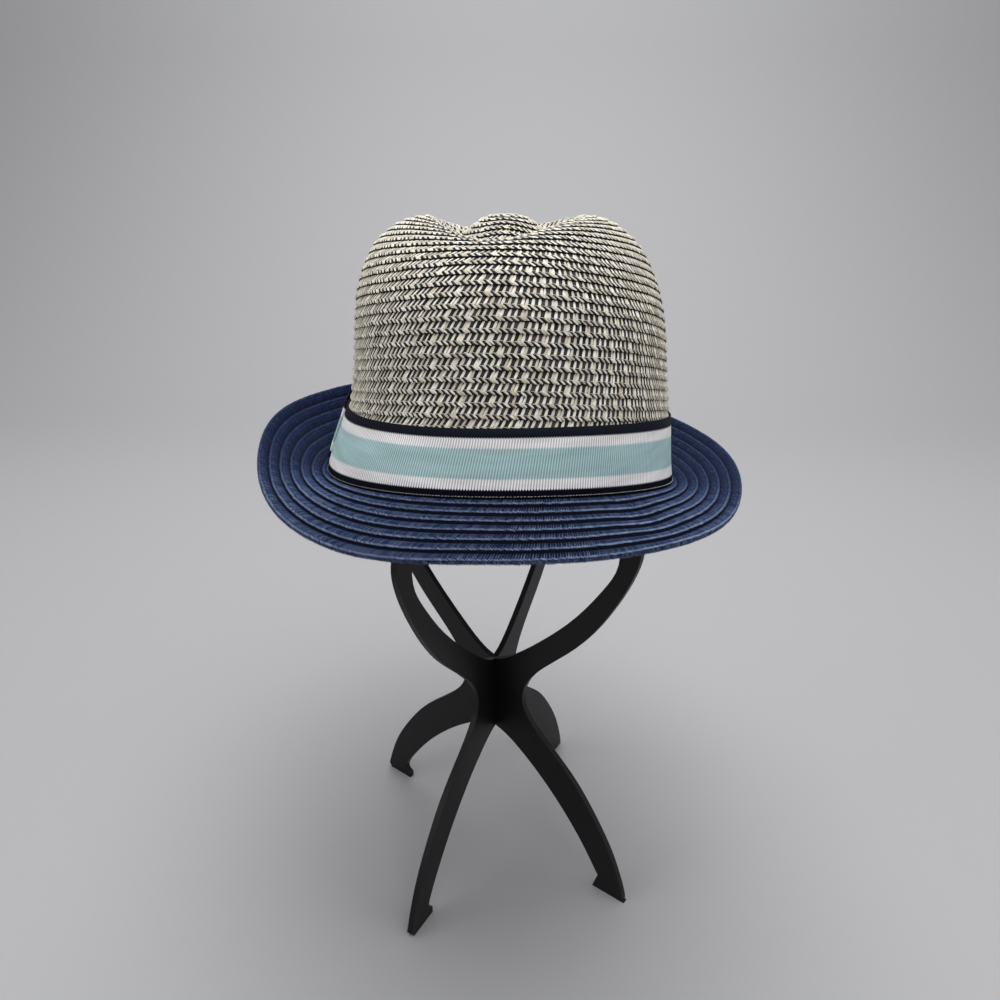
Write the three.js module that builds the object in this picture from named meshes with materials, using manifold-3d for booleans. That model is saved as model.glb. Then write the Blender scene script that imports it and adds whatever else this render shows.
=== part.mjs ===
// A straw fedora with a striped ribbon, set on a folding stand of two crossed plates.
// Millimetres, +Z up. The front of the hat looks along -Y. The floor is z = 0.
import * as THREE from 'three';
import { ParametricGeometry } from 'three/addons/geometries/ParametricGeometry.js';
import { mergeVertices } from 'three/addons/utils/BufferGeometryUtils.js';
import Module from 'manifold-3d';

// Sizes of the straw and of the gaps between pieces
const GAP = 0.3;
const STRAW = 1.8;
const RIBBON = 0.9;

// Where the crown meets the brim: the hat sits tipped back, and leans a little to one side
const FOOT_FRONT = 258.5;
const FOOT_SIDE = 237.5;
const FOOT_BACK = 224;
const FOOT_LEAN = 3;
const CROWN_LEAN = 4.6;
const LEAN_DONE = 0.35;
const LEAN_BACK = 0.55;
const LEAN_BACK_FROM = 0.5;

// Half widths and half lengths of the crown at each rise above its foot, up to the crest
const CROWN_ROWS = [
  { rise: 0, width: 85.2, length: 103 },
  { rise: 32, width: 78, length: 97.5 },
  { rise: 54, width: 75, length: 93.5 },
  { rise: 74, width: 73.1, length: 89.5 },
  { rise: 92, width: 70.4, length: 85 },
  { rise: 108, width: 63.2, length: 78 },
  { rise: 117.5, width: 52.9, length: 69 },
  { rise: 121.5, width: 43.8, length: 62.5 },
  { rise: 122.5, width: 36, length: 57 },
];

// The teardrop dent in the top: how far the crest sinks, more on the bow's side, and the
// groove round a raised middle
const CREST_HEIGHT = 359.5;
const CREST_DIP_FRONT = 8.5;
const CREST_DIP_BACK = 8;
const CREST_SKEW = 0.4;
const GROOVE_DEPTH = 10;
const MIDDLE_RISE = 0.5;
const TEARDROP = 0.18;
const TEARDROP_FROM = 0.6;
const GROOVE_SHIFT = 1.6;
const LEVELLING = 0.8;
const DIP_POWER = 4;

// The brim's edge: its reach from the middle of the hat, and its height every 30 degrees
const BRIM_HALF_WIDTH = 118;
const BRIM_FRONT = 137;
const BRIM_BACK = 125;
const BRIM_EDGE = [
  { turn: 0, height: 249.5 },
  { turn: 30, height: 246.5 },
  { turn: 60, height: 240.5 },
  { turn: 90, height: 243 },
  { turn: 120, height: 245.5 },
  { turn: 150, height: 250 },
  { turn: 180, height: 256 },
  { turn: 210, height: 260.5 },
  { turn: 240, height: 262.5 },
  { turn: 270, height: 262 },
  { turn: 300, height: 251 },
  { turn: 330, height: 245.5 },
];
const BRIM_CURL = 0.45;

// The ribbon, and the flat bow over its join on the side away from the lean
const RIBBON_FOOT = 1.4;
const RIBBON_TOP = 35;
const BOW_START = -78;
const BOW_END = -120;
const BOW_PUFF = 1.6;
const BOW_KNOT = 1.3;
const BOW_KNOT_SHARE = 0.16;
const BOW_INSET = 0.8;

// The stand: two plates of one outline, a little off square, crossing on one upright axis
const STAND_X = -3.4;
const PLATE = 3.2;
const PLATE_TURNS = { stand_plate_a: -36, stand_plate_b: 62.5 };
const FOOT_PAD_INNER = 72;
const FOOT_PAD_OUTER = 89.5;
const FOOT_PAD_DEPTH = 4;
const DOME_TOP = 351.7;
const SLOT_REACH = 60;

// Right half of the plate's outer edge, from the toe up to the dome
const OUTER_EDGE = [
  { out: 91.5, up: 3 },
  { out: 83.5, up: 25 },
  { out: 71, up: 46 },
  { out: 54, up: 67 },
  { out: 30, up: 88 },
  { out: 21, up: 104 },
  { out: 29, up: 124 },
  { out: 58.3, up: 154.5 },
  { out: 78.8, up: 187 },
  { out: 88, up: 213.5 },
  { out: 82.8, up: 231 },
  { out: 74.5, up: 260 },
  { out: 65, up: 298 },
  { out: 47, up: 329 },
];

// Right half of the window inside the loop, from its foot to its top
const WINDOW_FOOT = 123;
const WINDOW_EDGE = [
  { out: 14, up: 130 },
  { out: 44, up: 157.5 },
  { out: 66.3, up: 185.5 },
  { out: 76.8, up: 212 },
  { out: 64, up: 256 },
  { out: 53, up: 294 },
  { out: 35, up: 321 },
];
const WINDOW_TOP = 336;

// Right half of the arch between the legs, from the foot pad up
const ARCH_EDGE = [
  { out: 75, up: 9.5 },
  { out: 61, up: 30 },
  { out: 42, up: 51 },
  { out: 20, up: 69 },
];
const ARCH_TOP = 78;

// How finely the shapes are divided, and how near two corners are taken as one
const ROUND = 60;
const WALL_ROWS = 9;
const TOP_ROWS = 8;
const BRIM_ROWS = 5;
const BAND_ROWS = 3;
const BOW_ROWS = 14;
const EDGE_STEPS = 6;
const SKIN_STEP = 0.004;
const WELD = 1e-4;
const HALVINGS = 30;

const wasm = await Module();
wasm.setup();
const { lerp, smoothstep, degToRad, euclideanModulo } = THREE.MathUtils;

// Smooth curves through the tables
const CROWN_RISE = CROWN_ROWS.at(-1).rise;
const meridian = new THREE.CatmullRomCurve3(
  CROWN_ROWS.map((row) => new THREE.Vector3(row.width, row.length, row.rise)), false, 'catmullrom');
const brimEdge = new THREE.CatmullRomCurve3(
  BRIM_EDGE.map((row) => new THREE.Vector3(row.turn, row.height, 0)), true, 'catmullrom');

// A turn of 0 is the front of the hat, and a quarter turn is +X
function footHeight(turn) {
  const ahead = Math.cos(turn);
  const tip = (FOOT_FRONT - FOOT_BACK) / 2;
  const bend = (FOOT_FRONT + FOOT_BACK) / 2 - FOOT_SIDE;
  return FOOT_SIDE + tip * ahead + bend * ahead * ahead - FOOT_LEAN / 2 * Math.sin(turn);
}

function crestDrop(turn) {
  const ahead = Math.cos(turn);
  const dip = ahead > 0 ? CREST_DIP_FRONT : CREST_DIP_BACK;
  return dip * ahead * ahead * (1 - CREST_SKEW * Math.sin(turn));
}

// The crown's outer skin: station 0 is the foot, 1 the crest and 2 the middle of the top
function crownSkin(turn, station) {
  const row = meridian.getPoint(Math.min(station, 1));
  const across = Math.min(2 - station, 1);
  const part = row.z / CROWN_RISE;
  const level = lerp(footHeight(turn), CREST_HEIGHT - CROWN_RISE, part ** LEVELLING);
  const drop = crestDrop(turn);
  const groove = GROOVE_DEPTH * Math.sin(Math.PI * across ** GROOVE_SHIFT) ** 2;
  const island = (MIDDLE_RISE + drop) * (1 - across * across) ** 2;
  const narrowing = 1 - TEARDROP * Math.cos(turn) * smoothstep(part, TEARDROP_FROM, 1);
  const lean = smoothstep(part, 0, LEAN_DONE) - LEAN_BACK * smoothstep(part, LEAN_BACK_FROM, 1);
  return new THREE.Vector3(
    row.x * across * Math.sin(turn) * narrowing + CROWN_LEAN * lean,
    -row.y * across * Math.cos(turn),
    level + row.z - drop * part ** DIP_POWER - groove + island);
}

// A point off a skin by a distance along the skin's own outward normal
function offSkin(skin, turn, station, distance) {
  const sideways = skin(turn + SKIN_STEP, station).sub(skin(turn - SKIN_STEP, station));
  const behind = Math.max(station - SKIN_STEP, 0);
  const onwards = skin(turn, station + SKIN_STEP).sub(skin(turn, behind));
  return skin(turn, station).addScaledVector(sideways.cross(onwards).normalize(), distance);
}

function crownInside(turn, station) {
  const top = crownSkin(turn, 2);
  return station < 2 ? offSkin(crownSkin, turn, station, -STRAW) : top.setZ(top.z - STRAW);
}

// The crown's station at a given rise above its foot
function stationAt(rise) {
  let low = 0;
  let high = 1;
  for (let round = 0; round < HALVINGS; round += 1) {
    const half = (low + high) / 2;
    if (meridian.getPoint(half).z < rise) low = half;
    else high = half;
  }
  return low;
}

// The brim's upper side: share 0 is beside the crown, 1 is the edge
function brimTop(turn, share) {
  const foot = crownSkin(turn, 0);
  const clear = 1 + GAP / Math.hypot(foot.x, foot.y);
  const length = Math.cos(turn) > 0 ? BRIM_FRONT : BRIM_BACK;
  const edge = brimEdge.getPoint(euclideanModulo(turn / (2 * Math.PI), 1));
  const climb = share * (1 - BRIM_CURL) + share * share * BRIM_CURL;
  return new THREE.Vector3(
    lerp(foot.x * clear, BRIM_HALF_WIDTH * Math.sin(turn), share),
    lerp(foot.y * clear, -length * Math.cos(turn), share),
    lerp(foot.z, edge.y, climb));
}

function brimUnder(turn, share) {
  const inner = brimTop(turn, 0);
  return share > 0 ? offSkin(brimTop, turn, share, STRAW) : inner.setZ(inner.z - STRAW);
}

// Even steps from one value to another, both ends included
function steps(from, to, count) {
  return Array.from({ length: count + 1 }, (_, index) => from + (to - from) * index / count);
}

// Drops the triangles that shrank to nothing where a surface closes on a point
function weld(geometry) {
  geometry.deleteAttribute('normal');
  geometry.deleteAttribute('uv');
  const merged = mergeVertices(geometry, WELD);
  const index = [];
  for (let at = 0; at < merged.index.count; at += 3) {
    const corners = [0, 1, 2].map((corner) => merged.index.getX(at + corner));
    if (new Set(corners).size === 3) index.push(...corners);
  }
  merged.setIndex(index);
  merged.computeVertexNormals();
  return merged;
}

// A solid ring round the hat: each entry of the section gives a point for every turn
function ringSolid(section) {
  const loop = [...section, section[0]];
  const rows = loop.length - 1;
  return weld(new ParametricGeometry((round, along, target) => {
    target.copy(loop[Math.round(along * rows)](2 * Math.PI * (round % 1)));
  }, ROUND, rows));
}

// The crown and the ribbon share these stations, so that their facets lie alike
function ribbonStations() {
  return steps(stationAt(RIBBON_FOOT), stationAt(RIBBON_TOP), BAND_ROWS);
}

function crownGeometry() {
  const behindRibbon = ribbonStations();
  const wall = steps(behindRibbon.at(-1), 1, WALL_ROWS).slice(1);
  const top = steps(1, 2, TOP_ROWS).slice(1);
  const stations = [0, ...behindRibbon, ...wall, ...top];
  const lowered = (skin) => (turn) => skin(turn, 0).add(new THREE.Vector3(0, 0, -STRAW));
  return ringSolid([
    lowered(crownSkin),
    ...stations.map((station) => (turn) => crownSkin(turn, station)),
    ...stations.toReversed().map((station) => (turn) => crownInside(turn, station)),
    lowered(crownInside),
  ]);
}

function brimGeometry() {
  const shares = steps(0, 1, BRIM_ROWS);
  return ringSolid([
    ...shares.map((share) => (turn) => brimUnder(turn, share)),
    ...shares.toReversed().map((share) => (turn) => brimTop(turn, share)),
  ]);
}

function bandGeometry() {
  const stations = ribbonStations();
  return ringSolid([
    ...stations.map((station) => (turn) => offSkin(crownSkin, turn, station, GAP + RIBBON)),
    ...stations.toReversed().map((station) => (turn) => offSkin(crownSkin, turn, station, GAP)),
  ]);
}

// The bow is a flat strip with two puffed loops and a wrap over its middle
function bowGeometry() {
  const low = stationAt(RIBBON_FOOT + BOW_INSET);
  const high = stationAt(RIBBON_TOP - BOW_INSET);
  const heights = steps(low, high, BAND_ROWS);
  const under = 2 * GAP + RIBBON;
  const section = (share) => {
    const turn = degToRad(lerp(BOW_END, BOW_START, share));
    const knot = Math.abs(2 * share - 1) < BOW_KNOT_SHARE ? BOW_KNOT : 0;
    const over = under + RIBBON + BOW_PUFF * Math.sin(2 * Math.PI * share) ** 2 + knot;
    return [
      ...heights.toReversed().map((height) => offSkin(crownSkin, turn, height, over)),
      ...heights.map((height) => offSkin(crownSkin, turn, height, under)),
    ];
  };
  const sections = steps(0, 1, BOW_ROWS).map(section);
  const shut = (points) => {
    const sum = new THREE.Vector3();
    for (const point of points) sum.add(point);
    return points.map(() => sum.clone().divideScalar(points.length));
  };
  const rows = [shut(sections[0]), ...sections, shut(sections.at(-1))];
  const round = rows[0].length;
  return weld(new ParametricGeometry((around, along, target) => {
    const row = rows[Math.round(along * (rows.length - 1))];
    target.copy(row[Math.round(around * round) % round]);
  }, round, rows.length - 1));
}

const outline = (rows) => rows.map((row) => new THREE.Vector2(row.out, row.up));
const mirrored = (points) => points.map((point) => new THREE.Vector2(-point.x, point.y)).reverse();

// One plate of the stand, upright in the X-Z plane with its axis at the origin
function plateGeometry() {
  const edge = outline(OUTER_EDGE);
  const arch = outline(ARCH_EDGE);
  const pane = outline(WINDOW_EDGE);
  const shape = new THREE.Shape();
  shape.moveTo(FOOT_PAD_INNER, FOOT_PAD_DEPTH);
  shape.lineTo(FOOT_PAD_INNER, 0);
  shape.lineTo(FOOT_PAD_OUTER, 0);
  shape.splineThru([...edge, new THREE.Vector2(0, DOME_TOP), ...mirrored(edge)]);
  shape.lineTo(-FOOT_PAD_OUTER, 0);
  shape.lineTo(-FOOT_PAD_INNER, 0);
  shape.lineTo(-FOOT_PAD_INNER, FOOT_PAD_DEPTH);
  shape.splineThru([...mirrored(arch).reverse(), new THREE.Vector2(0, ARCH_TOP), ...arch.reverse()]);
  shape.closePath();
  const hole = new THREE.Path();
  const windowFoot = new THREE.Vector2(0, WINDOW_FOOT);
  const windowTop = new THREE.Vector2(0, WINDOW_TOP);
  hole.moveTo(0, WINDOW_FOOT);
  hole.splineThru([...pane, windowTop, ...mirrored(pane), windowFoot]);
  shape.holes.push(hole);
  const cut = { depth: PLATE, bevelEnabled: false, curveSegments: EDGE_STEPS };
  return new THREE.ExtrudeGeometry(shape, cut).translate(0, 0, -PLATE / 2).rotateX(Math.PI / 2);
}

function asManifold(geometry) {
  const welded = weld(geometry);
  const mesh = new wasm.Mesh({
    numProp: 3,
    vertProperties: new Float32Array(welded.attributes.position.array),
    triVerts: new Uint32Array(welded.index.array),
  });
  return new wasm.Manifold(mesh);
}

function asGeometry(manifold) {
  const mesh = manifold.getMesh();
  const geometry = new THREE.BufferGeometry();
  geometry.setAttribute('position', new THREE.BufferAttribute(mesh.vertProperties, 3));
  geometry.setIndex(new THREE.BufferAttribute(mesh.triVerts, 1));
  geometry.computeVertexNormals();
  return geometry;
}

// A plate turned to its place, with half-depth slots where the other plate crosses it
function slottedPlate(turn, otherTurn, slots) {
  let solid = asManifold(plateGeometry().rotateZ(degToRad(turn)));
  for (const slot of slots) {
    const box = new THREE.BoxGeometry(SLOT_REACH, PLATE + 2 * GAP, slot.to - slot.from);
    box.translate(0, 0, (slot.from + slot.to) / 2).rotateZ(degToRad(otherTurn));
    solid = solid.subtract(asManifold(box));
  }
  return asGeometry(solid).translate(STAND_X, 0, 0);
}

// The slots of one plate open upwards and those of the other downwards
const waist = (ARCH_TOP + WINDOW_FOOT) / 2;
const crossing = (WINDOW_TOP + DOME_TOP) / 2;
const OPEN_DOWN = [
  { from: ARCH_TOP - PLATE, to: waist + GAP / 2 },
  { from: WINDOW_TOP - PLATE, to: crossing + GAP / 2 },
];
const OPEN_UP = [
  { from: waist - GAP / 2, to: WINDOW_FOOT + PLATE },
  { from: crossing - GAP / 2, to: DOME_TOP + PLATE },
];

const FINISHES = {
  tweed: new THREE.MeshStandardMaterial({ color: 0xb3ad9c, roughness: 0.8, metalness: 0 }),
  navy: new THREE.MeshStandardMaterial({ color: 0x2a3a5c, roughness: 0.75, metalness: 0 }),
  aqua: new THREE.MeshStandardMaterial({ color: 0x93bcc0, roughness: 0.7, metalness: 0 }),
  black: new THREE.MeshStandardMaterial({ color: 0x16171a, roughness: 0.45, metalness: 0 }),
};

const { stand_plate_a: turnA, stand_plate_b: turnB } = PLATE_TURNS;
const pieces = [
  { name: 'crown', geometry: crownGeometry(), finish: FINISHES.tweed },
  { name: 'brim', geometry: brimGeometry(), finish: FINISHES.navy },
  { name: 'hat_band', geometry: bandGeometry(), finish: FINISHES.aqua },
  { name: 'band_bow', geometry: bowGeometry(), finish: FINISHES.aqua },
  { name: 'stand_plate_a', geometry: slottedPlate(turnA, turnB, OPEN_DOWN), finish: FINISHES.black },
  { name: 'stand_plate_b', geometry: slottedPlate(turnB, turnA, OPEN_UP), finish: FINISHES.black },
];

const fedora = new THREE.Group();
for (const { name, geometry, finish } of pieces) {
  const mesh = new THREE.Mesh(geometry, finish);
  mesh.name = name;
  fedora.add(mesh);
}

// The origin is on the floor, under the middle of the whole object
const centre = new THREE.Box3().setFromObject(fedora).getCenter(new THREE.Vector3());
fedora.position.set(-centre.x, -centre.y, 0);
export default fedora;
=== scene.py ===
import math

import bmesh
import bpy
import numpy as np
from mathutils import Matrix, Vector


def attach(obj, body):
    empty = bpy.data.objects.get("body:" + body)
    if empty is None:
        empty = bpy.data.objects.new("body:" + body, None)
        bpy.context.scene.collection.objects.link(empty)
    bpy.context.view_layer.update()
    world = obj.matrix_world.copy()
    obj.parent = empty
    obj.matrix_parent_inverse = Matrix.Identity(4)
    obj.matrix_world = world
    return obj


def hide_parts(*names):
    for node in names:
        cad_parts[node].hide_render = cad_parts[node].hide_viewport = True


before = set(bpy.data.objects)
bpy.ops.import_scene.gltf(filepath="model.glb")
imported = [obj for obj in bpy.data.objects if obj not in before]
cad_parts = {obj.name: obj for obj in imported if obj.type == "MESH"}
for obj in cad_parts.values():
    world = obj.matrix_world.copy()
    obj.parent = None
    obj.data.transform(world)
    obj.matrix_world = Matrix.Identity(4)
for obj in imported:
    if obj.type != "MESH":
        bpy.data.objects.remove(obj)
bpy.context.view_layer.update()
mm = 0.001
fullTurn = 2 * math.pi
weld = 2e-6  # corners nearer than this, in metres, become one
tiny = 1e-6  # a normal shorter than this has no direction
dice = np.random.default_rng(58)  # one seeded source for all the small irregularities

# Camera: the photograph's viewing angle
cameraSet = {
    "place": (0.01335, -0.37808, 0.370),
    "pitch": 21.5,
    "azimuth": 2.0,
    "lens": 28.3,
    "sensor": 36.0,
}


def makeCamera(look):
    data = bpy.data.cameras.new("camera")
    data.lens = look["lens"]
    data.sensor_width = look["sensor"]
    camera = bpy.data.objects.new("camera", data)
    camera.location = look["place"]
    camera.rotation_euler = (math.radians(90 - look["pitch"]), 0, math.radians(look["azimuth"]))
    bpy.context.collection.objects.link(camera)
    bpy.context.scene.camera = camera


makeCamera(cameraSet)
print("camera set")

# The hat's own form, in millimetres. A turn of 0 is the front, and a quarter turn is +X.
hatForm = {
    "place": (0.4628, 5.1852, 0.0),
    "footFront": 258.5, "footSide": 237.5, "footBack": 224.0, "footLean": 3.0,
    # where the foot lies a little lower, and where the ribbon and the brim beside it stand
    # higher or lower than the foot: rise, turn, width
    "footDips": ((-2.0, 92.0, 28.0),),
    "swells": ((2.4, 20.0, 38.0), (3.0, -108.0, 28.0), (-1.0, 92.0, 25.0)), "swellFade": 6,
    "crownLean": 4.6, "leanDone": 0.35, "leanBack": 0.55, "leanBackFrom": 0.5,
    "crestHeight": 359.5, "dipFront": 7.3, "dipBack": 8.0, "dipSkew": 0.4, "dipPower": 4,
    "grooveDepth": 8.8, "grooveShift": 1.6, "middleRise": 0.5,
    "teardrop": 0.18, "teardropFrom": 0.6, "levelling": 0.8,
    "brimHalfWidth": 118.0, "brimFront": 137.0, "brimBack": 125.0, "brimCurl": 0.45,
    "seat": -1.8,
    # where the brim's edge is drawn in or let out: distance, turn, width
    "brimNips": ((-4.2, -73.0, 21.0), (2.6, -47.0, 14.0)),
    "ripple": 1.8, "rippleTurn": 37.0, "rippleWidth": 8.0,
    # distance that the rows of braid share out evenly, and where they begin to close on the tip
    "braidReach": 179.0, "closingFront": 0.6, "closingBack": 0.2, "closingAhead": (-1.0, 0.2),
    # half width, half length and rise of the crown, from its foot to its crest
    "crownRows": (
        (85.2, 103.0, 0.0), (78.0, 97.5, 32.0), (75.0, 93.5, 54.0),
        (73.1, 89.5, 74.0), (70.4, 85.0, 92.0), (63.2, 78.0, 108.0),
        (52.9, 69.0, 117.5), (43.8, 62.5, 121.5), (36.0, 57.0, 122.5),
    ),
    # height of the brim's edge every 30 degrees
    "brimHeights": (249.5, 246.5, 240.5, 243.0, 245.5, 250.0,
                    256.0, 260.5, 262.5, 262.0, 251.0, 245.5),
}


def throughPoints(padded, at):
    index = np.clip(np.floor(at).astype(int), 0, len(padded) - 4)
    part = (at - index)[..., None]
    a, b, c, d = (padded[index + step] for step in range(4))
    return 0.5 * (2 * b + (c - a) * part + (2 * a - 5 * b + 4 * c - d) * part ** 2
                  + (3 * b - a - 3 * c + d) * part ** 3)


def smoothStep(value, low, high):
    part = np.clip((value - low) / (high - low), 0, 1)
    return part * part * (3 - 2 * part)


def footHeight(turn):
    ahead = np.cos(turn)
    tip = (hatForm["footFront"] - hatForm["footBack"]) / 2
    bend = (hatForm["footFront"] + hatForm["footBack"]) / 2 - hatForm["footSide"]
    dip = sum(rise * bell(turn, middle, width) for rise, middle, width in hatForm["footDips"])
    lean = hatForm["footLean"] / 2 * np.sin(turn)
    return hatForm["footSide"] + tip * ahead + bend * ahead ** 2 - lean + dip


# Half width, half length and rise of the crown at a station from its foot to its crest
def crownRow(station):
    rows = np.array(hatForm["crownRows"])
    padded = np.vstack([2 * rows[0] - rows[1], rows, 2 * rows[-1] - rows[-2]])
    return throughPoints(padded, station * (len(rows) - 1))


# station 0 is the foot, 1 the crest and 2 the middle of the top
def crownSkin(turn, station):
    turn, station = np.broadcast_arrays(turn, station)
    row = crownRow(np.minimum(station, 1))
    across = np.minimum(2 - station, 1)
    rise = hatForm["crownRows"][-1][2]
    part = row[..., 2] / rise
    ahead = np.cos(turn)
    side = np.sin(turn)
    level = footHeight(turn)
    level = level + (hatForm["crestHeight"] - rise - level) * part ** hatForm["levelling"]
    drop = np.where(ahead > 0, hatForm["dipFront"], hatForm["dipBack"]) * ahead ** 2
    drop = drop * (1 - hatForm["dipSkew"] * side)
    groove = hatForm["grooveDepth"] * np.sin(math.pi * across ** hatForm["grooveShift"]) ** 2
    island = (hatForm["middleRise"] + drop) * (1 - across ** 2) ** 2
    narrowing = 1 - hatForm["teardrop"] * ahead * smoothStep(part, hatForm["teardropFrom"], 1)
    lean = smoothStep(part, 0, hatForm["leanDone"])
    lean = lean - hatForm["leanBack"] * smoothStep(part, hatForm["leanBackFrom"], 1)
    return np.stack([
        row[..., 0] * across * side * narrowing + hatForm["crownLean"] * lean,
        -row[..., 1] * across * ahead,
        level + row[..., 2] - drop * part ** hatForm["dipPower"] - groove + island], -1)


# A bell round one turn, both in degrees
def bell(turn, middle, width):
    away = np.mod(np.degrees(turn) - middle + 180, 360) - 180
    return np.exp(-(away / width) ** 2)


def swell(turn):
    return sum(rise * bell(turn, middle, width) for rise, middle, width in hatForm["swells"])


# share 0 is beside the crown and 1 is the edge
def brimSkin(turn, share):
    turn, share = np.broadcast_arrays(turn, share)
    foot = crownSkin(turn, np.zeros_like(turn))
    clear = 1 + hatForm["seat"] / np.hypot(foot[..., 0], foot[..., 1])
    heights = np.array(hatForm["brimHeights"])[:, None]
    padded = np.vstack([heights[-1:], heights, heights[:2]])
    edge = throughPoints(padded, np.mod(turn / fullTurn, 1) * len(heights))[..., 0]
    length = np.where(np.cos(turn) > 0, hatForm["brimFront"], hatForm["brimBack"])
    nip = sum(far * bell(turn, middle, width) for far, middle, width in hatForm["brimNips"])
    share = share * (1 + nip / hatForm["brimHalfWidth"])
    climb = share * (1 - hatForm["brimCurl"]) + share ** 2 * hatForm["brimCurl"]
    ripple = hatForm["ripple"] * bell(turn, hatForm["rippleTurn"], hatForm["rippleWidth"])
    bumps = swell(turn) * (1 - share) ** hatForm["swellFade"] - ripple * np.sin(math.pi * share)
    return np.stack([
        foot[..., 0] * clear * (1 - share) + hatForm["brimHalfWidth"] * np.sin(turn) * share,
        foot[..., 1] * clear * (1 - share) - length * np.cos(turn) * share,
        foot[..., 2] * (1 - climb) + edge * climb + bumps], -1)


# Rows of braid keep one width up the crown, and only close up or open out towards the tip
def braidSpacing(turn, even, length):
    ahead = smoothStep(math.cos(turn), *hatForm["closingAhead"])
    closing = hatForm["closingBack"] + (hatForm["closingFront"] - hatForm["closingBack"]) * ahead
    reach = hatForm["braidReach"]
    return even * reach + (length - reach) * smoothStep(even, closing, 1)


def evenSpacing(turn, even, length):
    return even * length


# A skin kept as a fine grid, spaced across so that rows of braid come out equally wide
def makeSheet(skin, last, outward, spacing=evenSpacing, turnCount=720, acrossCount=600):
    turns = np.linspace(-math.pi, math.pi, turnCount + 1)
    raw = skin(turns[:, None], np.linspace(0, last, acrossCount + 1)[None, :])
    steps = np.linalg.norm(np.diff(raw, axis=1), axis=2)
    along = np.concatenate([np.zeros((turnCount + 1, 1)), np.cumsum(steps, axis=1)], axis=1)
    even = np.linspace(0, 1, acrossCount + 1)
    grid = np.empty_like(raw)
    for line in range(turnCount + 1):
        wanted = spacing(turns[line], even, along[line, -1])
        for axis in range(3):
            grid[line, :, axis] = np.interp(wanted, along[line], raw[line, :, axis])
    ring = np.concatenate([grid[-2:-1], grid, grid[1:2]])
    normals = np.cross(ring[2:] - ring[:-2], np.gradient(grid, axis=1)) * outward
    length = np.linalg.norm(normals, axis=2, keepdims=True)
    normals = np.where(length > tiny, normals / np.maximum(length, tiny), (0, 0, 1))
    place = np.array(hatForm["place"])

    def lookUp(turn, across, lift):
        turn, across, lift = np.broadcast_arrays(turn, across, lift)
        x = np.mod(turn / fullTurn + 0.5, 1) * turnCount
        y = np.clip(across, 0, 1) * acrossCount
        i = np.clip(x.astype(int), 0, turnCount - 1)
        j = np.clip(y.astype(int), 0, acrossCount - 1)
        x = (x - i)[..., None]
        y = (y - j)[..., None]

        def mix(field):
            near = field[i, j] * (1 - x) + field[i + 1, j] * x
            far = field[i, j + 1] * (1 - x) + field[i + 1, j + 1] * x
            return near * (1 - y) + far * y

        return mix(grid) + mix(normals) * lift[..., None] + place

    return lookUp


crownSheet = makeSheet(crownSkin, 2.0, 1, braidSpacing)
brimSheet = makeSheet(brimSkin, 1.0, -1)
print("hat form ready")


# Helpers that the pieces share
def tone(red, green, blue):
    def linear(value):
        value = value / 255
        return value / 12.92 if value <= 0.04045 else ((value + 0.055) / 1.055) ** 2.4
    return (linear(red), linear(green), linear(blue), 1.0)


def finishPiece(name, mesh, materials, replaced=None):
    piece = bpy.data.objects.new(name, mesh)
    bpy.context.collection.objects.link(piece)
    for material in materials:
        mesh.materials.append(material)
    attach(piece, "root")
    if replaced:
        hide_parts(replaced)
    print(name, "made,", len(mesh.polygons), "faces")
    return piece


# A flat grid bent into place: place and weave take each corner's x and y, from 0 to 1,
# and faces past insideFrom in y have the second material
def wrapGrid(name, xCount, yCount, place, weave, insideFrom=1.0):
    bm = bmesh.new()
    uvLayer = bm.loops.layers.uv.new("weave")
    bmesh.ops.create_grid(bm, x_segments=xCount, y_segments=yCount, size=0.5)
    bm.verts.index_update()
    flat = np.array([vert.co for vert in bm.verts]) + 0.5
    placed = place(flat[:, 0], flat[:, 1]) * mm
    threads = np.stack(weave(flat[:, 0], flat[:, 1]), -1)
    for face in bm.faces:
        heights = [flat[loop.vert.index, 1] for loop in face.loops]
        face.material_index = int(sum(heights) / len(heights) > insideFrom)
        face.smooth = True
        for loop in face.loops:
            loop[uvLayer].uv = threads[loop.vert.index]
    for vert, spot in zip(bm.verts, placed):
        vert.co = spot
    bmesh.ops.remove_doubles(bm, verts=bm.verts, dist=weld)
    bmesh.ops.recalc_face_normals(bm, faces=bm.faces)
    mesh = bpy.data.meshes.new(name)
    bm.to_mesh(mesh)
    bm.free()
    return mesh


# A closed section, given as (across, lift) pairs, carried round the hat on a sheet
def ringMesh(name, sheet, section, turnCount, insideFrom=None, climb=0.0):
    rows = len(section)
    closed = np.vstack([section, section[:1]])
    threads = np.append(section[:, 0], 0.0)

    def place(x, y):
        at = np.rint(y * rows).astype(int)
        return sheet((x - 0.5) * fullTurn, closed[at, 0] + climb * (x - 0.5), closed[at, 1])

    def weave(x, y):
        return x, threads[np.rint(y * rows).astype(int)]

    limit = 1.0 if insideFrom is None else insideFrom / rows
    return wrapGrid(name, turnCount, rows, place, weave, limit)


# Node trees
def addNode(tree, kind, place=(0, 0), **values):
    node = tree.nodes.new(kind)
    node.location = place
    for key, value in values.items():
        setattr(node, key, value)
    return node


def maths(tree, operation, first, second=None, third=None):
    node = addNode(tree, "ShaderNodeMath", operation=operation)
    for socket, value in zip(node.inputs, (first, second, third)):
        if value is None:
            continue
        if isinstance(value, (int, float)):
            socket.default_value = value
        else:
            tree.links.new(value, socket)
    return node.outputs[0]


def mixColours(tree, share, first, second, blend="MIX"):
    node = addNode(tree, "ShaderNodeMix", data_type="RGBA", blend_type=blend)
    for socket, value in ((node.inputs[0], share), (node.inputs[6], first), (node.inputs[7], second)):
        if isinstance(value, (int, float, tuple)):
            socket.default_value = value
        else:
            tree.links.new(value, socket)
    return node.outputs[2]


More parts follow.
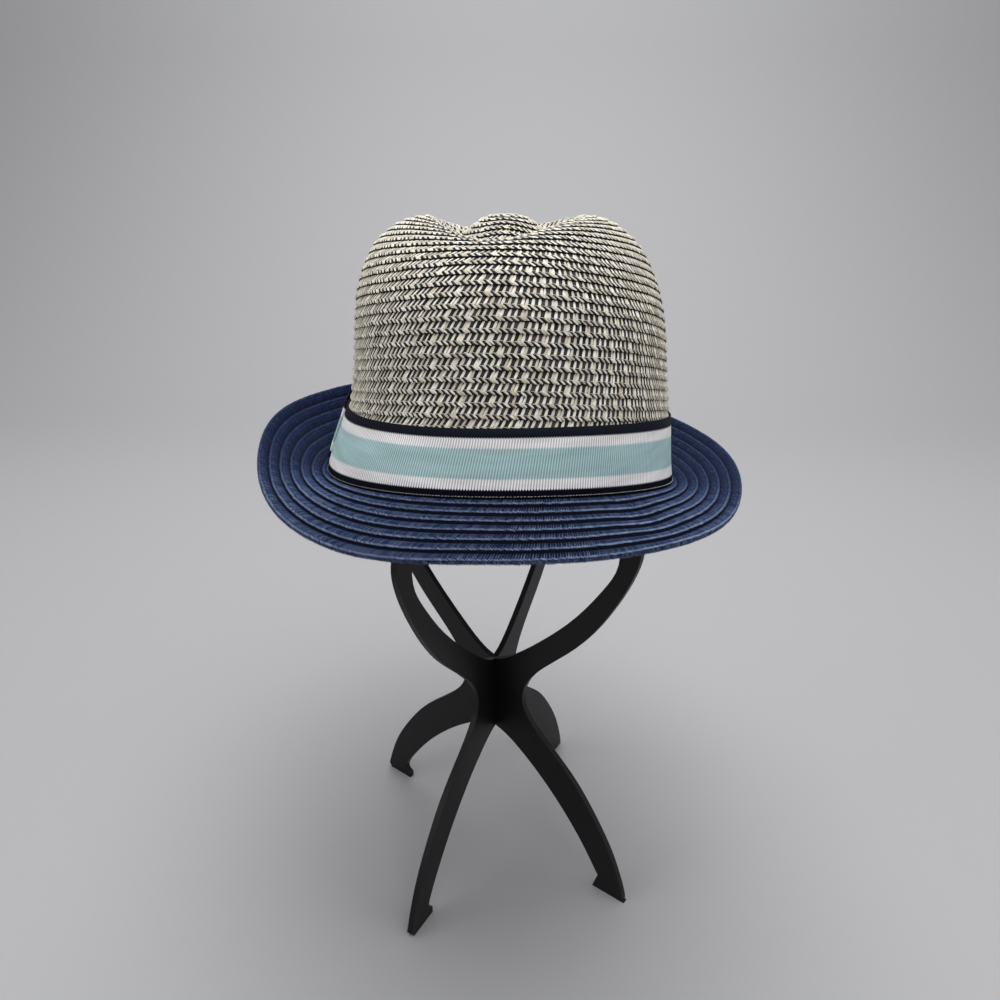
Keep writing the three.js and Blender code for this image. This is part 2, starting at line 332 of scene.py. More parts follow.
def newMaterial(name):
    material = bpy.data.materials.new(name)
    material.use_nodes = True
    tree = material.node_tree
    return material, tree, tree.nodes["Principled BSDF"]


def roughen(tree, shader, height, strength, distance):
    bump = addNode(tree, "ShaderNodeBump", (-200, -300))
    bump.inputs["Strength"].default_value = strength
    bump.inputs["Distance"].default_value = distance
    tree.links.new(height, bump.inputs["Height"])
    tree.links.new(bump.outputs["Normal"], shader.inputs["Normal"])


def newGroup(name, takes, gives):
    group = bpy.data.node_groups.new(name, "ShaderNodeTree")
    for label, kind in takes:
        group.interface.new_socket(label, in_out="INPUT", socket_type="NodeSocket" + kind)
    for label, kind in gives:
        group.interface.new_socket(label, in_out="OUTPUT", socket_type="NodeSocket" + kind)
    takesNode = addNode(group, "NodeGroupInput", (-900, 0))
    givesNode = addNode(group, "NodeGroupOutput", (600, 0))
    return group, takesNode, givesNode


# Straw: fibres run along each strand, and no two strands have quite the same colour
fibreSet = {
    "stretch": (1.6, 7.0, 1.0), "scale": 1.0, "detail": 2.0, "seeds": 83.0,
    # how far the fibres shift the colour, and the least roughness and what they add to it
    "swing": 0.9, "roughness": (0.42, 0.3), "bump": 0.45, "depth": 0.00025,
    # slight hues that the strands take in turn as their tint grows: place and factor
    "hueTurns": 9.7,
    "hues": (
        (0.0, (1.0, 0.93, 0.74, 1)), (0.3, (1.0, 0.99, 0.95, 1)), (0.55, (1.0, 0.9, 0.86, 1)),
        (0.8, (0.9, 0.95, 1.0, 1)), (1.0, (0.95, 1.0, 0.88, 1)),
    ),
}


def makeStrawGroup(look):
    group, takes, gives = newGroup(
        "strawFibre",
        (("Strand", "Vector"), ("Tint", "Float"), ("Deep", "Color"), ("Pale", "Color"),
         ("Blush", "Float")),
        (("Color", "Color"), ("Roughness", "Float"), ("Height", "Float")))
    stretch = addNode(group, "ShaderNodeVectorMath", (-700, 0), operation="MULTIPLY")
    stretch.inputs[1].default_value = look["stretch"]
    group.links.new(takes.outputs["Strand"], stretch.inputs[0])
    seed = maths(group, "MULTIPLY", takes.outputs["Tint"], look["seeds"])
    fibre = addNode(group, "ShaderNodeTexNoise", (-500, 0), noise_dimensions="4D")
    fibre.inputs["Scale"].default_value = look["scale"]
    fibre.inputs["Detail"].default_value = look["detail"]
    group.links.new(stretch.outputs[0], fibre.inputs["Vector"])
    group.links.new(seed, fibre.inputs["W"])
    streak = fibre.outputs["Fac"]
    swing = maths(group, "MULTIPLY_ADD", streak, look["swing"], -look["swing"] / 2)
    share = maths(group, "ADD", takes.outputs["Tint"], swing)
    share = maths(group, "MINIMUM", maths(group, "MAXIMUM", share, 0.0), 1.0)
    colour = mixColours(group, share, takes.outputs["Deep"], takes.outputs["Pale"])
    spread = maths(group, "FRACT", maths(group, "MULTIPLY", takes.outputs["Tint"], look["hueTurns"]))
    ramp = addNode(group, "ShaderNodeValToRGB", (-300, -300))
    stops = ramp.color_ramp.elements
    first, *between, last = look["hues"]
    stops[0].color, stops[1].color = first[1], last[1]
    for at, hue in between:
        stops.new(at).color = hue
    group.links.new(spread, ramp.inputs["Fac"])
    tinted = mixColours(group, takes.outputs["Blush"], colour, ramp.outputs["Color"], "MULTIPLY")
    group.links.new(tinted, gives.inputs["Color"])
    least, more = look["roughness"]
    group.links.new(maths(group, "MULTIPLY_ADD", streak, more, least), gives.inputs["Roughness"])
    group.links.new(streak, gives.inputs["Height"])
    return group


strawFibre = makeStrawGroup(fibreSet)


def strawMaterial(name, look):
    material, tree, shader = newMaterial(name)
    strand = addNode(tree, "ShaderNodeUVMap", (-900, 100), uv_map="weave")
    tint = addNode(tree, "ShaderNodeAttribute", (-900, -100), attribute_name="tint")
    fibre = addNode(tree, "ShaderNodeGroup", (-500, 0), node_tree=strawFibre)
    tree.links.new(strand.outputs["UV"], fibre.inputs["Strand"])
    tree.links.new(tint.outputs["Fac"], fibre.inputs["Tint"])
    fibre.inputs["Deep"].default_value = look["deep"]
    fibre.inputs["Pale"].default_value = look["pale"]
    fibre.inputs["Blush"].default_value = look["blush"]
    tree.links.new(fibre.outputs["Color"], shader.inputs["Base Color"])
    tree.links.new(fibre.outputs["Roughness"], shader.inputs["Roughness"])
    shader.inputs["Specular IOR Level"].default_value = look["specular"]
    roughen(tree, shader, fibre.outputs["Height"], fibreSet["bump"], fibreSet["depth"])
    return material


strawLooks = {
    "cream": {"deep": tone(181, 174, 157), "pale": tone(230, 227, 215), "blush": 0.5, "specular": 0.25},
    "dark": {"deep": tone(11, 11, 15), "pale": tone(56, 54, 60), "blush": 0.3, "specular": 0.15},
    # the blue's greyish pale end stands partly for painted sheen, and the lip strokes take most of it
    "blue": {"deep": tone(8, 32, 76), "pale": tone(112, 126, 152), "blush": 0.1, "specular": 0.06},
    "thread": {"deep": tone(142, 144, 145), "pale": tone(208, 206, 199), "blush": 0.3, "specular": 0.3},
}
creamStraw = strawMaterial("cream_straw", strawLooks["cream"])
darkStraw = strawMaterial("dark_straw", strawLooks["dark"])
blueStraw = strawMaterial("blue_straw", strawLooks["blue"])
paleThread = strawMaterial("pale_thread", strawLooks["thread"])


# What lies under and behind the strands: near-black straw of painted shade in the gaps between and under
# the strands, with the reverse of the braid inside
backingSet = {
    # where the strands turn within a row, their slant, and the edge between two of them
    "fold": 0.6, "slant": 1.4, "top": 0.4, "softTop": 0.1, "edge": (0.16, 0.32),
    "speck": 900.0, "speckShade": 0.5, "roughness": (0.6, 0.25), "specular": 0.08,
    "rowStep": 0.5, "bump": 0.5, "depth": 0.0006,
}


def backingMaterial(name, look):
    material, tree, shader = newMaterial(name)
    weave = addNode(tree, "ShaderNodeUVMap", (-1100, 0), uv_map="weave")
    parts = addNode(tree, "ShaderNodeSeparateXYZ", (-900, 0))
    tree.links.new(weave.outputs["UV"], parts.inputs["Vector"])
    along = maths(tree, "MULTIPLY", parts.outputs["X"], look["strands"])
    row = maths(tree, "FRACT", maths(tree, "MULTIPLY", parts.outputs["Y"], look["rows"]))
    fold = maths(tree, "ABSOLUTE", maths(tree, "SUBTRACT", row, backingSet["fold"]))
    slant = maths(tree, "MULTIPLY", fold, backingSet["slant"])
    slanted = maths(tree, "FRACT", maths(tree, "ADD", along, slant))
    band = maths(tree, "PINGPONG", slanted, 0.5)
    band = maths(tree, "SMOOTH_MIN", band, backingSet["top"], backingSet["softTop"])
    edge = addNode(tree, "ShaderNodeMapRange", (-300, 0), interpolation_type="SMOOTHSTEP")
    edge.inputs["From Min"].default_value = backingSet["edge"][0]
    edge.inputs["From Max"].default_value = backingSet["edge"][1]
    tree.links.new(band, edge.inputs["Value"])
    speck = addNode(tree, "ShaderNodeTexNoise", (-500, -300))
    speck.inputs["Scale"].default_value = backingSet["speck"]
    place = addNode(tree, "ShaderNodeTexCoord", (-700, -300))
    tree.links.new(place.outputs["Object"], speck.inputs["Vector"])
    colour = mixColours(tree, edge.outputs["Result"], look["deep"], look["pale"])
    shade = maths(tree, "MULTIPLY", speck.outputs["Fac"], backingSet["speckShade"])
    colour = mixColours(tree, shade, colour, look["deep"])
    tree.links.new(colour, shader.inputs["Base Color"])
    least, more = backingSet["roughness"]
    roughness = maths(tree, "MULTIPLY_ADD", speck.outputs["Fac"], more, least)
    tree.links.new(roughness, shader.inputs["Roughness"])
    shader.inputs["Specular IOR Level"].default_value = backingSet["specular"]
    height = maths(tree, "ADD", band, maths(tree, "MULTIPLY", row, backingSet["rowStep"]))
    roughen(tree, shader, height, backingSet["bump"], backingSet["depth"])
    return material


# The crown's outer shell and the brim shell are near-black painted shade that shows in the gaps under
# and between the strands; the inside of the crown has the braid's own colours
backingLooks = {
    "crownPaintedShade": {"strands": 180, "rows": 39, "deep": tone(8, 8, 12), "pale": tone(26, 26, 32)},
    "insideCrown": {"strands": 180, "rows": 39, "deep": tone(30, 31, 40), "pale": tone(190, 184, 164)},
    "brimPaintedShade": {"strands": 700, "rows": 7, "deep": tone(0, 2, 10), "pale": tone(3, 10, 30)},
}
crownPaintedShade = backingMaterial("painted_shade_under_crown", backingLooks["crownPaintedShade"])
insideCrown = backingMaterial("straw_inside_crown", backingLooks["insideCrown"])
brimPaintedShade = backingMaterial("painted_shade_under_brim", backingLooks["brimPaintedShade"])
print("straw materials ready")

# Crown: rows of flat braid sewn in a spiral, each lapped over the row below
crownBraid = {
    "rows": 39, "firstRow": 6, "lastRow": 39, "up": True, "spiral": -1.0, "pitch": 1.3, "jitter": 0.06,
    "wobble": 0.03, "sunk": 1.0, "lap": 0.62, "lapFrom": 0.0, "lapTo": 0.85,
    # the shell: its corners in each row, how far it lies under the strands, its wall and steps round
    "section": (1.0, 0.92, 0.5, 0.06), "below": 0.1, "wall": 0.95, "turns": 200,
    # pairs of one pale and one dark strand between two pale strands side by side
    "pairs": (2, 3),
}


def rowLift(braid, v):
    return braid["lap"] * smoothStep(v, braid["lapFrom"], braid["lapTo"])


def crownShell():
    rows = crownBraid["rows"]
    outer = []
    for row in range(-1, rows):
        for v in crownBraid["section"]:
            lift = rowLift(crownBraid, np.array(v)) - crownBraid["sunk"] - crownBraid["below"]
            outer.append(((row + 1 - v) / rows, float(lift)))
    outer.append((1.0, -crownBraid["sunk"]))
    inside = -crownBraid["sunk"] - crownBraid["wall"]
    inner = [(share, inside) for share in np.linspace(1, -1 / rows, rows + 2)]
    section = np.array(outer + inner)
    return ringMesh("crown_shell", crownSheet, section, crownBraid["turns"], len(outer),
                    crownBraid["spiral"] / rows)


# The shell's outer face is near-black painted shade that shows between and under the strands
finishPiece("crown_shell", crownShell(), [crownPaintedShade, insideCrown], "crown")

# Each strand shows as two strokes that meet in a point, a long one up and a short leaf down,
# and a stitch of the sewing thread lies where they meet.
# start, end: places in strands along the row and in shares of the row, from its top
crownStrokes = [
    {"piece": "dark", "strand": "dark", "start": (0.0, 0.7), "end": (1.15, -0.06), "half": 0.64,
     "lift": (0.28, -0.02), "bulge": 0.3, "leaf": 0.0, "flare": 0.0, "grid": (3, 2)},
    {"piece": "dark", "strand": "dark", "start": (-0.26, 0.65), "end": (1.08, 1.01), "half": 0.64,
     "lift": (0.34, 0.26), "bulge": 0.32, "leaf": 0.4, "flare": 0.0, "grid": (3, 2)},
    {"piece": "thread", "strand": "dark", "start": (-0.8, 0.655), "end": (1.0, 0.672), "half": 0.0,
     "tall": 0.026, "lift": (0.62, 0.62), "bulge": 0.14, "leaf": 0.0, "flare": 0.0, "grid": (2, 2)},
    {"piece": "cream", "strand": "cream", "start": (-0.02, 0.73), "end": (1.15, -0.06), "half": 0.48,
     "lift": (0.34, 0.04), "bulge": 0.36, "leaf": 0.25, "flare": 0.55, "grid": (4, 2)},
    {"piece": "cream", "strand": "cream", "start": (-0.5, 0.645), "end": (1.0, 1.035), "half": 0.6,
     "lift": (0.42, 0.32), "bulge": 0.42, "leaf": 0.6, "flare": 0.0, "grid": (4, 2)},
]


# What all strokes share: blunt ends or a leaf's point, a rounded back and uneven widths
strokeForm = {
    "blunt": 0.3, "bluntPower": 4, "leafFrom": 0.14, "leafSpan": 0.78, "leafPower": 0.8,
    "uneven": 0.1, "droop": 0.5, "droopPower": 3, "level": 0.55,
    # steps round a row when its length is taken, and the fewest strands in it
    "steps": 720, "fewest": 4,
}


def strokePoints(braid, stroke, row, turns, lengths, starts, pitch):
    a, b = np.meshgrid(np.linspace(0, 1, stroke["grid"][0] + 1),
                       np.linspace(-1, 1, stroke["grid"][1] + 1), indexing="ij")
    a, b = a.ravel(), b.ravel()
    count = len(starts)
    (alongFrom, vFrom), (alongTo, vTo) = stroke["start"], stroke["end"]
    ends = np.abs(2 * a - 1)
    blunt = 1 - strokeForm["blunt"] * ends ** strokeForm["bluntPower"]
    blunt = blunt * (1 + stroke["flare"] * (0.5 - a))
    pointed = np.sin(math.pi * (strokeForm["leafFrom"] + strokeForm["leafSpan"] * a))
    pointed = pointed ** strokeForm["leafPower"]
    width = blunt * (1 - stroke["leaf"]) + pointed * stroke["leaf"]
    half = stroke["half"] * (1 + strokeForm["uneven"] * dice.standard_normal((count, 1)))
    wobble = braid["wobble"] * dice.standard_normal((count, 1))
    s = starts[:, None] + pitch * (alongFrom + (alongTo - alongFrom) * a + half * width * b + wobble)
    v = vFrom + (vTo - vFrom) * a + wobble + stroke.get("tall", 0.0) * width * b
    crest = (1 - b * b) * (1 - strokeForm["droop"] * ends ** strokeForm["droopPower"])
    lift = rowLift(braid, v) + stroke["lift"][0] + (stroke["lift"][1] - stroke["lift"][0]) * a
    lift = lift - braid["sunk"] + stroke["bulge"] * (crest - strokeForm["level"])
    laps = np.floor(s / lengths[-1])
    turn = np.interp(s - laps * lengths[-1], lengths, turns) + laps * fullTurn
    rise = 1 - v if braid["up"] else v
    across = (row + rise + braid["spiral"] * turn / fullTurn) / braid["rows"]
    return turn, across, lift


# The strands of one row: pairs of pale and dark, then two pale ones side by side and a dark one
def strandKinds(braid, count):
    kinds = []
    while len(kinds) < count:
        pairs = dice.integers(braid["pairs"][0], braid["pairs"][1] + 1)
        kinds += ["cream", "dark"] * pairs + ["cream", "cream", "dark"]
    return np.array(kinds[:count])


# All the strokes of a braid, by piece and grid. under turns them to the far side of the sheet, and
# fade holds the tints back where it is low, which paints shade on those strokes
def layBraid(sheet, braid, strokes, under=0.0, fade=None):
    found = {}
    turns = np.linspace(-math.pi, math.pi, strokeForm["steps"] + 1)
    for row in range(braid["firstRow"], braid["lastRow"]):
        line = sheet(turns, (row + 0.5 + braid["spiral"] * turns / fullTurn) / braid["rows"], 0.0)
        lengths = np.concatenate([[0], np.cumsum(np.linalg.norm(np.diff(line, axis=0), axis=1))])
        count = max(strokeForm["fewest"], round(lengths[-1] / braid["pitch"]))
        pitch = lengths[-1] / count
        starts = (np.arange(count) + dice.random()) * pitch
        starts = starts + braid["jitter"] * pitch * dice.standard_normal(count)
        kinds = strandKinds(braid, count) if "pairs" in braid else None
        for stroke in strokes:
            chosen = starts if kinds is None else starts[kinds == stroke["strand"]]
            turn, across, lift = strokePoints(braid, stroke, row, turns, lengths, chosen, pitch)
            lift = -under - lift if under else lift
            points = sheet(turn, across, lift)
            outward = sheet(turn, across, lift + (-1.0 if under else 1.0)) - points
            low, high = stroke.get("tint", (0.0, 1.0))
            tint = low + (high - low) * dice.random(len(chosen))
            if fade:
                tint = tint * (1 - stroke["paintedSideShade"] * (1 - fade(turn[:, 0])))
            key = (stroke["piece"], stroke["grid"])
            found.setdefault(key, []).append((points, outward, tint))
    return found


# All the strokes of one colour as one mesh
def strokeMesh(name, found, piece):
    corners, faces, threads, tints = [], [], [], []
    first = 0
    for (colour, (longCount, wideCount)), rows in found.items():
        if colour != piece:
            continue
        points = np.concatenate([row[0] for row in rows])
        outward = np.concatenate([row[1] for row in rows])
        tint = np.concatenate([row[2] for row in rows])
        each = (longCount + 1) * (wideCount + 1)
        at = np.arange(each).reshape(longCount + 1, wideCount + 1)
        quads = np.stack([at[:-1, :-1], at[:-1, 1:], at[1:, 1:], at[1:, :-1]], -1).reshape(-1, 4)
        edgeOne = points[:, quads[:, 1]] - points[:, quads[:, 0]]
        edgeTwo = points[:, quads[:, 3]] - points[:, quads[:, 0]]
        facing = (np.cross(edgeOne, edgeTwo) * outward[:, quads[:, 0]]).sum()
        if facing < 0:
            quads = quads[:, ::-1]
        places = np.arange(len(points))[:, None, None] * each + first
        faces.append((quads[None] + places).reshape(-1, 4))
        corners.append(points.reshape(-1, 3))
        grid = np.stack(np.meshgrid(np.linspace(0, 1, longCount + 1),
                                    np.linspace(0, 1, wideCount + 1), indexing="ij"), -1).reshape(-1, 2)
        threads.append(np.tile(grid, (len(points), 1)))
        tints.append(np.repeat(tint, each))
        first += len(points) * each
    corners, faces = np.concatenate(corners) * mm, np.concatenate(faces)
    threads, tints = np.concatenate(threads), np.concatenate(tints)
    mesh = bpy.data.meshes.new(name)
    mesh.from_pydata(corners, [], faces)
    layer = mesh.uv_layers.new(name="weave")
    layer.data.foreach_set("uv", threads[faces.ravel()].astype(np.float32).ravel())
    mesh.attributes.new("tint", "FLOAT", "POINT").data.foreach_set("value", tints.astype(np.float32))
    mesh.shade_smooth()
    return mesh


def strandPiece(name, found, colour, material):
    return finishPiece(name, strokeMesh(name, found, colour), [material])


crownFound = layBraid(crownSheet, crownBraid, crownStrokes)
strandPiece("crown_cream_strands", crownFound, "cream", creamStraw)
strandPiece("crown_dark_strands", crownFound, "dark", darkStraw)
strandPiece("crown_sewing_thread", crownFound, "thread", paleThread)

# Brim: rings of finer braid, each lapped over the next one out
brimBraid = {
    "rows": 7, "firstRow": 0, "lastRow": 7, "up": False, "spiral": 0.0, "pitch": 1.0, "jitter": 0.08,
    "wobble": 0.02, "sunk": 0.7, "lap": 1.2, "lapFrom": 0.0, "lapTo": 0.6,
    # the shell: its corners in each row, where its underside ends, its thickness and steps round
    "section": (0.0, 0.1, 0.25, 0.45, 0.95, 0.97), "rim": 0.99, "thick": 1.3, "turns": 240,
    # the rows lap less on the underside
    "underLap": 0.5, "underSunk": 0.3,
    # the laps stand open at the front and lie almost flat elsewhere
    "flat": 0.3, "openFrom": 0.1, "openTo": 0.75,
}
# a fine slanted stroke, and a longer one that lies along the lip; the lip's paler tints are a painted
# highlight where it catches the light
brimStrokes = [
    {"piece": "blue", "start": (0.0, 0.74), "end": (0.9, 0.03), "half": 0.29, "lift": (0.08, 0.0),
     "bulge": 0.34, "leaf": 0.3, "flare": 0.0, "grid": (4, 2), "tint": (0.02, 0.4), "paintedSideShade": 0.6},
    {"piece": "blue", "start": (-0.4, 0.76), "end": (0.6, 0.985), "half": 0.36, "lift": (0.2, 0.26),
     "bulge": 0.34, "leaf": 0.3, "flare": 0.0, "grid": (4, 2), "tint": (0.35, 0.9), "paintedSideShade": 0.8},
]
# the last ring's strokes turned down over its edge
rimStrokes = [
    {"piece": "blue", "start": (-0.2, 0.985), "end": (0.3, 1.0), "half": 0.45, "lift": (0.1, -1.6),
     "bulge": 0.2, "leaf": 0.0, "flare": 0.0, "grid": (3, 2), "tint": (0.1, 0.5), "paintedSideShade": 0.5},
]


def laidOpen(turn):
    return smoothStep(np.cos(turn), brimBraid["openFrom"], brimBraid["openTo"])


def lappedBrim(turn, across, lift):
    deep = -brimBraid["sunk"]
    share = brimBraid["flat"] + (1 - brimBraid["flat"]) * laidOpen(turn)
    return brimSheet(turn, across, np.where(lift > deep, deep + (lift - deep) * share, lift))


def brimShell():
    rows = brimBraid["rows"]
    upper = []
    for row in range(rows):
        for v in brimBraid["section"]:
            lift = float(rowLift(brimBraid, np.array(v))) - brimBraid["sunk"]
            upper.append(((row + v) / rows, lift))
    lower = [(share, -brimBraid["thick"]) for share in np.linspace(brimBraid["rim"], 0, 2 * rows + 1)]
    return ringMesh("brim_shell", lappedBrim, np.array(upper + lower), brimBraid["turns"])


# The brim shell is near-black painted shade: it shows as the dark bands under each lip and between the
# strokes
finishPiece("brim_shell", brimShell(), [brimPaintedShade], "brim")
# The brim's tints are held back where its laps lie flat, at the sides and back: painted shade
brimFound = layBraid(lappedBrim, brimBraid, brimStrokes, fade=laidOpen)
brimRim = dict(brimBraid, firstRow=brimBraid["rows"] - 1)
brimFound.update(layBraid(lappedBrim, brimRim, rimStrokes, fade=laidOpen))
strandPiece("brim_upper_strands", brimFound, "blue", blueStraw)
brimUnder = dict(brimBraid, lap=brimBraid["underLap"], sunk=brimBraid["underSunk"])
brimFound = layBraid(brimSheet, brimUnder, brimStrokes, brimBraid["thick"])
strandPiece("brim_lower_strands", brimFound, "blue", blueStraw)

# Ribbon: ribbed cloth with woven stripes, round the foot of the crown
ribbonSet = {
    "foot": 1.0, "top": 34.0, "inner": 0.0, "outer": 1.0, "belly": 0.2,
    "ribs": 470, "scallop": 0.01, "turns": 360, "rows": 8, "samples": 2000,
    "navy": tone(13, 16, 27), "white": tone(226, 224, 225), "aqua": tone(163, 191, 193),
    # top of each stripe, from the lower edge up
    "stripes": (0.113, 0.268, 0.712, 0.862),
    "crisp": 0.006, "soft": 0.02,
    # painted shade in the valleys between the ribs, and what a fine streaky cloud adds
    "ribShade": 0.6, "ribFloor": 0.58, "streak": (0.6, 0.6, 4.0), "cloud": 60.0, "detail": 3.0,
    "cloudShade": 0.5, "roughness": (0.55, 0.2), "specular": 0.06, "bump": 0.2, "depth": 0.0003,
}


def stationAt(rise):
    stations = np.linspace(0, 1, ribbonSet["samples"] + 1)
    return np.interp(rise, crownRow(stations)[:, 2], stations)


def ribbonSkin(turn, share):
    rise = ribbonSet["foot"] + (ribbonSet["top"] - ribbonSet["foot"]) * share
    return crownSkin(turn, stationAt(rise + swell(turn)))


ribbonSheet = makeSheet(ribbonSkin, 1.0, 1, acrossCount=60)


def ribbonMaterial(name, look):
    material, tree, shader = newMaterial(name)
    weave = addNode(tree, "ShaderNodeUVMap", (-1300, 0), uv_map="weave")
    parts = addNode(tree, "ShaderNodeSeparateXYZ", (-1100, 0))
    tree.links.new(weave.outputs["UV"], parts.inputs["Vector"])
    phase = maths(tree, "MULTIPLY", parts.outputs["X"], look["ribs"] * fullTurn)
    wave = maths(tree, "SINE", phase)
    rib = maths(tree, "MULTIPLY_ADD", wave, 0.5, 0.5)
    wavy = maths(tree, "MULTIPLY_ADD", wave, look["scallop"], parts.outputs["Y"])
    place = addNode(tree, "ShaderNodeTexCoord", (-1300, -400))
    streak = addNode(tree, "ShaderNodeVectorMath", (-1200, -400), operation="MULTIPLY")
    streak.inputs[1].default_value = look["streak"]
    tree.links.new(place.outputs["Object"], streak.inputs[0])
    cloud = addNode(tree, "ShaderNodeTexNoise", (-1100, -400))
    cloud.inputs["Scale"].default_value = look["cloud"]
    cloud.inputs["Detail"].default_value = look["detail"]
    tree.links.new(streak.outputs[0], cloud.inputs["Vector"])

    def step(value, at, soft):
        edge = addNode(tree, "ShaderNodeMapRange", interpolation_type="SMOOTHSTEP")
        edge.inputs["From Min"].default_value = at - soft
        edge.inputs["From Max"].default_value = at + soft
        tree.links.new(value, edge.inputs["Value"])
        return edge.outputs["Result"]

    lowNavy, lowWhite, highAqua, highWhite = look["stripes"]
    colour = mixColours(tree, step(wavy, lowNavy, look["crisp"]), look["navy"], look["white"])
    colour = mixColours(tree, step(parts.outputs["Y"], lowWhite, look["soft"]), colour, look["aqua"])
    colour = mixColours(tree, step(parts.outputs["Y"], highAqua, look["soft"]), colour, look["white"])
    colour = mixColours(tree, step(wavy, highWhite, look["crisp"]), colour, look["navy"])
    # The colour is darkened in the valleys between the ribs, which is painted shade, and by the cloud's
    # random streaks of tone
    ribShadeAndCloud = maths(tree, "MULTIPLY_ADD", rib, look["ribShade"], look["ribFloor"])
    ribShadeAndCloud = maths(tree, "SUBTRACT", ribShadeAndCloud, look["cloudShade"] / 2)
    ribShadeAndCloud = maths(tree, "MULTIPLY_ADD", cloud.outputs["Fac"], look["cloudShade"], ribShadeAndCloud)
    shade = addNode(tree, "ShaderNodeCombineColor", (-300, -200))
    for socket in shade.inputs:
        tree.links.new(ribShadeAndCloud, socket)
    colour = mixColours(tree, 1.0, colour, shade.outputs["Color"], "MULTIPLY")
    tree.links.new(colour, shader.inputs["Base Color"])
    least, more = look["roughness"]
    roughness = maths(tree, "MULTIPLY_ADD", cloud.outputs["Fac"], more, least)
    tree.links.new(roughness, shader.inputs["Roughness"])
    shader.inputs["Specular IOR Level"].default_value = look["specular"]
    roughen(tree, shader, rib, look["bump"], look["depth"])
    return material


ribbonCloth = ribbonMaterial("striped_ribbon", ribbonSet)


def ribbonMesh():
    shares = np.linspace(0, 1, ribbonSet["rows"] + 1)
    belly = ribbonSet["belly"] * np.sin(math.pi * shares)
    outer = list(zip(shares, ribbonSet["outer"] + belly))
    inner = [(share, ribbonSet["inner"]) for share in (1.0, 0.5, 0.0)]
    return ringMesh("ribbon_band", ribbonSheet, np.array(outer + inner), ribbonSet["turns"])


finishPiece("ribbon_band", ribbonMesh(), [ribbonCloth], "hat_band")

# Pale thread that shows along the ribbon's lower edge
edgeThread = {
    "rows": 1, "firstRow": 0, "lastRow": 1, "up": True, "spiral": 0.0, "pitch": 1.27, "jitter": 0.06,
    "wobble": 0.001, "sunk": 0.0, "lap": 0.0, "lapFrom": 0.0, "lapTo": 1.0,
}
threadStrokes = [
    {"piece": "thread", "start": (0.15, 0.99), "end": (0.78, 0.984), "half": 0.0, "tall": 0.005,
     "lift": (1.15, 1.15), "bulge": 0.2, "tint": (0.0, 0.5), "leaf": 0.5, "flare": 0.0, "grid": (4, 2)},
]
threadFound = layBraid(ribbonSheet, edgeThread, threadStrokes)
strandPiece("ribbon_edge_thread", threadFound, "thread", paleThread)

# Bow: two flat loops of the ribbon and a wrap over their middle, on the side of the crown
bowSet = {
    "turn": -102.0, "reach": 18.0, "wrap": 4.2, "base": 1.6, "puff": 1.8, "fold": 0.8,
    "inset": 0.04, "pinch": 0.3, "pinchTo": 0.45, "cloth": 0.6,
    # a loop's way out and back, where it turns over, its fullness, and its share of the ribbon's ribs
    "outPower": 1.2, "turnOver": (0.44, 0.56), "puffPower": 0.8, "loopGrid": (40, 12), "loopRibs": 0.11,
    # the wrap's wider ends, seat, arch and belly, its ribs, and the stripes that show on it
    "ends": 0.15, "seat": 1.35, "archPower": 0.35, "belly": 0.5, "wrapGrid": (10, 24),
    "wrapRibs": 0.05, "wrapStripes": (0.1, 0.8),
}


def bowLoop(name, side):
    def place(x, y):
        out = 1 - np.abs(2 * x - 1) ** bowSet["outPower"]
        upper = smoothStep(x, *bowSet["turnOver"])
        puff = bowSet["puff"] * np.sin(math.pi * out) ** bowSet["puffPower"]
        lift = bowSet["base"] + upper * (bowSet["fold"] + puff)
        turn = np.radians(bowSet["turn"] + side * bowSet["reach"] * out)
        narrow = 1 - bowSet["pinch"] * (1 - smoothStep(out, 0.0, bowSet["pinchTo"]))
        share = 0.5 + (y - 0.5) * (1 - 2 * bowSet["inset"]) * narrow
        return ribbonSheet(turn, share, lift)

    mesh = wrapGrid(name, *bowSet["loopGrid"], place, lambda x, y: (x * bowSet["loopRibs"], y))
    return finishPiece(name, mesh, [ribbonCloth], "band_bow" if side > 0 else None)


def bowWrap(name):
    def place(x, y):
        wide = bowSet["wrap"] * (1 + bowSet["ends"] * np.cos(fullTurn * y))
        turn = np.radians(bowSet["turn"] + (x - 0.5) * wide)
        arch = np.sin(math.pi * np.clip(y, 0, 1)) ** bowSet["archPower"]
        belly = bowSet["belly"] * np.sin(math.pi * x)
        return ribbonSheet(turn, y, bowSet["seat"] + arch * (bowSet["fold"] + bowSet["puff"] + belly))

    low, span = bowSet["wrapStripes"]
    mesh = wrapGrid(name, *bowSet["wrapGrid"], place,
                    lambda x, y: (y * bowSet["wrapRibs"], low + span * x))
    return finishPiece(name, mesh, [ribbonCloth])


for bowPiece in (bowLoop("bow_loop_front", 1), bowLoop("bow_loop_back", -1), bowWrap("bow_wrap")):
    cloth = bowPiece.modifiers.new("cloth", "SOLIDIFY")
    cloth.thickness = bowSet["cloth"] * mm
    cloth.offset = 0.0

# Stand: two slotted plates of black plastic with softened edges
standSet = {
    # the rounding in metres, and the angles, in degrees, of a sharp edge and of a flat face
    "edge": 0.0009, "steps": 3, "profile": 0.5, "sharp": 40.0, "flat": 0.05, "faceWeight": 100,
    # how often the outline is evened, and how far its corners move in and back out
    "rounds": 30, "pull": 0.5, "push": -0.52,
    "black": tone(10, 10, 12), "worn": tone(26, 27, 29), "wear": (-0.1, 0.5),
    "grain": 1400.0, "haze": 26.0, "hazeDetail": 4.0, "roughness": (0.32, 0.2), "specular": 0.22,
    "bump": 0.12, "depth": 0.0002,
}


